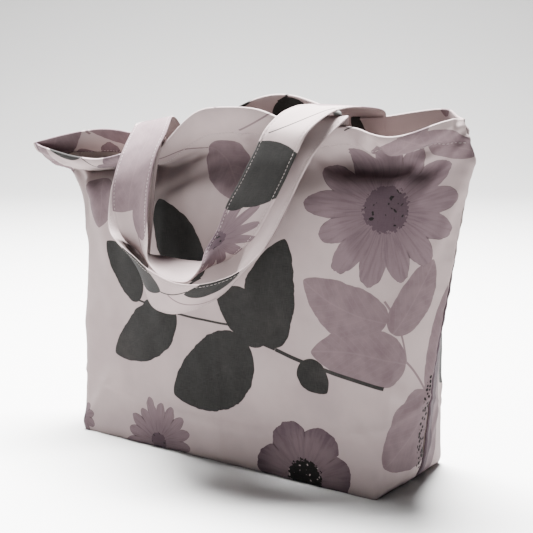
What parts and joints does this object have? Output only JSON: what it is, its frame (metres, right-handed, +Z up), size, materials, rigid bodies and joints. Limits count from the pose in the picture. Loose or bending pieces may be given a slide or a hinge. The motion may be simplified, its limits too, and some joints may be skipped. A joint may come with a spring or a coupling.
{
  "type": "tote bag",
  "caption": "Soft unlined cotton tote bag with boxed corners, a turned-in hem and two flat strap handles that hang over its front.",
  "frame": {"origin": "centre of the flat base, on the surface the bag stands on", "axes": "+Z up, -Y out of the front panel that the handles hang over, +X to the right along the base's long side"},
  "size_m": [0.4136, 0.1598, 0.2915],
  "materials": {
    "printed_cotton": "matt woven cotton, printed",
    "hem_facing": "matt woven cotton, printed",
    "seam_allowance": "matt woven cotton, reverse side",
    "strap_cotton": "matt woven cotton, printed, topstitched"
  },
  "bodies": {
    "bag": {"front_panel": "printed_cotton", "back_panel": "printed_cotton", "front_hem": "hem_facing", "back_hem": "hem_facing", "right_side_seam": "seam_allowance", "left_side_seam": "seam_allowance", "base_seam": "seam_allowance", "right_corner_seam": "seam_allowance", "left_corner_seam": "seam_allowance", "front_handle_left_end": "strap_cotton", "front_handle_right_end": "strap_cotton", "back_handle_left_end": "strap_cotton", "back_handle_right_end": "strap_cotton"},
    "front_handle": {"front_handle_loop": "strap_cotton"},
    "back_handle_runs": {"back_handle_left_run": "strap_cotton", "back_handle_right_run": "strap_cotton"},
    "back_handle": {"back_handle_loop": "strap_cotton"}
  },
  "joints": [
    {"name": "front_handle_lift", "type": "hinge", "parent": "bag", "child": "front_handle", "pos_m": [0.01159, -0.04466, 0.26566], "axis": [-0.9877, -0.0311, -0.1534], "range_deg": [0, 160]},
    {"name": "back_handle_lift", "type": "hinge", "parent": "bag", "child": "back_handle_runs", "pos_m": [0.00226, -0.00393, 0.2719], "axis": [-0.994, 0.0074, -0.1091], "range_deg": [0, 66]},
    {"name": "back_handle_fold", "type": "hinge", "parent": "back_handle_runs", "child": "back_handle", "pos_m": [0.00462, -0.03993, 0.27802], "axis": [-0.9943, 0.0504, -0.0943], "range_deg": [0, 94]}
  ],
  "couplings": [
    {"joint": "back_handle_lift", "follows": "back_handle_fold", "ratio": 0.7},
    {"joint": "front_handle_lift", "follows": "back_handle_fold", "ratio": 1.7}
  ]
}
